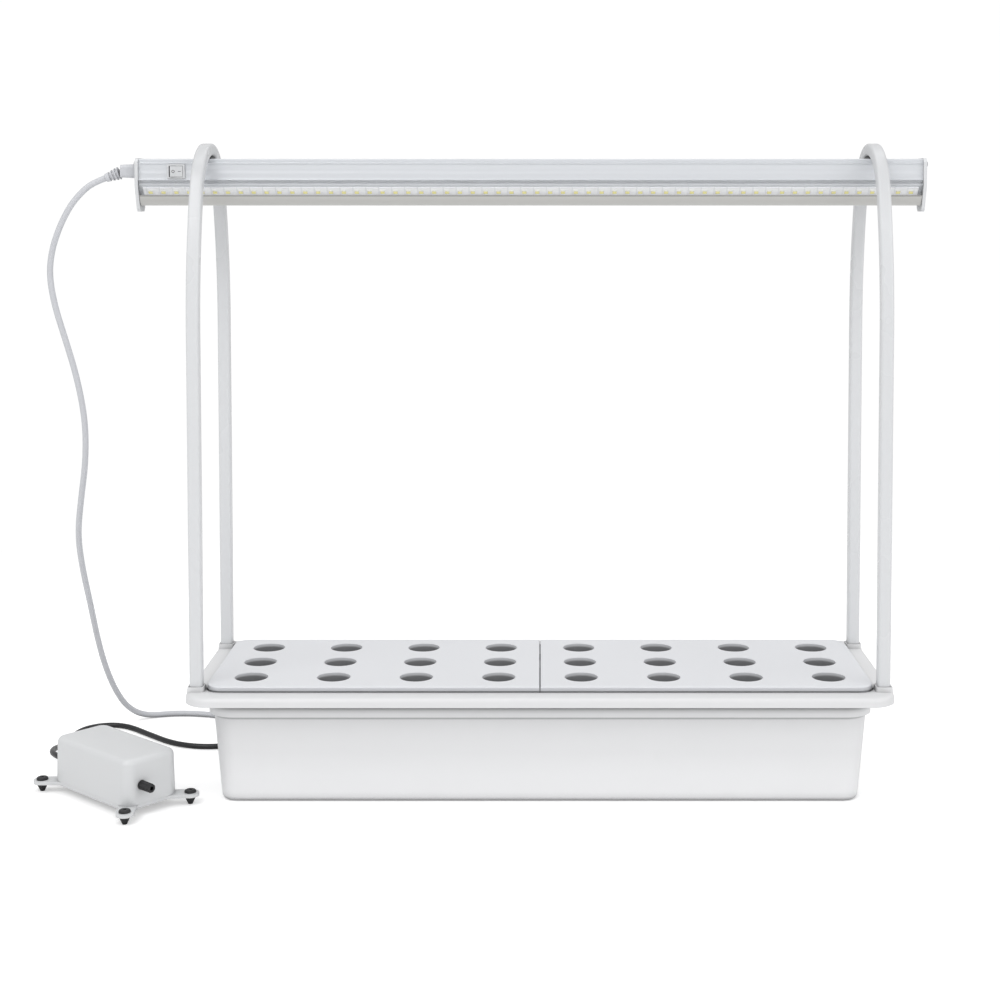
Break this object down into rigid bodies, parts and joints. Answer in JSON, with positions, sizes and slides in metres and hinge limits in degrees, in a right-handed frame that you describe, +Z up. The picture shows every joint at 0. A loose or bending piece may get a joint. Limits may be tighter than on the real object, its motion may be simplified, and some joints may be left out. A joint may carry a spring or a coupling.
{
  "type": "countertop hydroponic garden",
  "caption": "White countertop hydroponic garden: tub with a split planting lid, two arches carrying an LED bar with a cord, and a small air pump beside it.",
  "frame": {"origin": "centre of the tub's underside, on the table", "axes": "+X to the right along the tub and the lamp, +Y to the back, +Z up"},
  "size_m": [0.6855, 0.3002, 0.4899],
  "materials": {
    "tub_plastic": "satin white moulded plastic",
    "lid_plastic": "satin white moulded plastic",
    "arch_plastic": "gloss white tube",
    "lamp_metal": "satin anodised extrusion",
    "board_white": "white solder mask",
    "led_yellow": "yellow phosphor",
    "clear_cover": "clear to frosted",
    "cap_plastic": "moulded",
    "switch_plastic": "moulded",
    "board_green": "solder mask",
    "driver_black": "moulded",
    "cord_white": "smooth jacket",
    "cord_black": "smooth jacket",
    "pump_plastic": "satin white moulded plastic",
    "black_rubber": "matte",
    "screw_steel": "zinc plated",
    "core_iron": "plain",
    "winding_copper": "enamelled copper wire",
    "magnet": "plain"
  },
  "bodies": {
    "garden": {"reservoir_tub": "tub_plastic", "arch_left": "arch_plastic", "arch_right": "arch_plastic", "leg_screws": "screw_steel", "lamp_spacers": "black_rubber", "lamp_screws": "screw_steel", "lamp_housing": "lamp_metal", "led_board_front": "board_white", "led_board_rear": "board_white", "led_chips_front": "led_yellow", "led_chips_rear": "led_yellow", "lamp_cover": "clear_cover", "end_cap_left": "cap_plastic", "end_cap_right": "cap_plastic", "cap_screws": "screw_steel", "switch_body": "switch_plastic", "driver_board": "board_green", "driver_parts": "driver_black", "lamp_inlet": "cap_plastic", "lamp_connector": "cord_white", "lamp_cord_relief": "cord_white", "lamp_cord_run": "cord_white", "lamp_cord_coil": "cord_white", "lamp_mains_plug": "cord_white", "pump_cover": "pump_plastic", "pump_base": "pump_plastic", "pump_feet": "black_rubber", "pump_screws": "screw_steel", "pump_nozzle": "black_rubber", "pump_core": "core_iron", "pump_winding": "winding_copper", "pump_arm_pin": "screw_steel", "pump_bellows": "black_rubber", "pump_valve_block": "driver_black", "pump_cord_relief": "black_rubber", "pump_cord_run": "cord_black", "pump_cord_coil": "cord_black", "pump_mains_plug": "cord_black"},
    "lid_left_half": {"lid_left": "lid_plastic"},
    "lid_right_half": {"lid_right": "lid_plastic"},
    "rocker": {"switch_rocker": "switch_plastic"},
    "swing_arm": {"pump_arm": "core_iron", "pump_magnet": "magnet"}
  },
  "joints": [
    {"name": "lift_left_lid", "type": "slide", "parent": "garden", "child": "lid_left_half", "axis": [0, 0, 1], "range_m": [0, 0.12]},
    {"name": "lift_right_lid", "type": "slide", "parent": "garden", "child": "lid_right_half", "axis": [0, 0, 1], "range_m": [0, 0.12]},
    {"name": "rock_switch", "type": "hinge", "parent": "garden", "child": "rocker", "pos_m": [-0.2759, -0.0107, 0.46835], "axis": [0, 0, 1], "range_deg": [-14, 0]},
    {"name": "swing_pump_arm", "type": "hinge", "parent": "garden", "child": "swing_arm", "pos_m": [-0.30878, -0.03877, 0.0225], "axis": [0, 0, 1], "range_deg": [-2, 2], "stiffness_Nm_per_rad": 0.05, "deforming": ["pump_bellows"]}
  ]
}
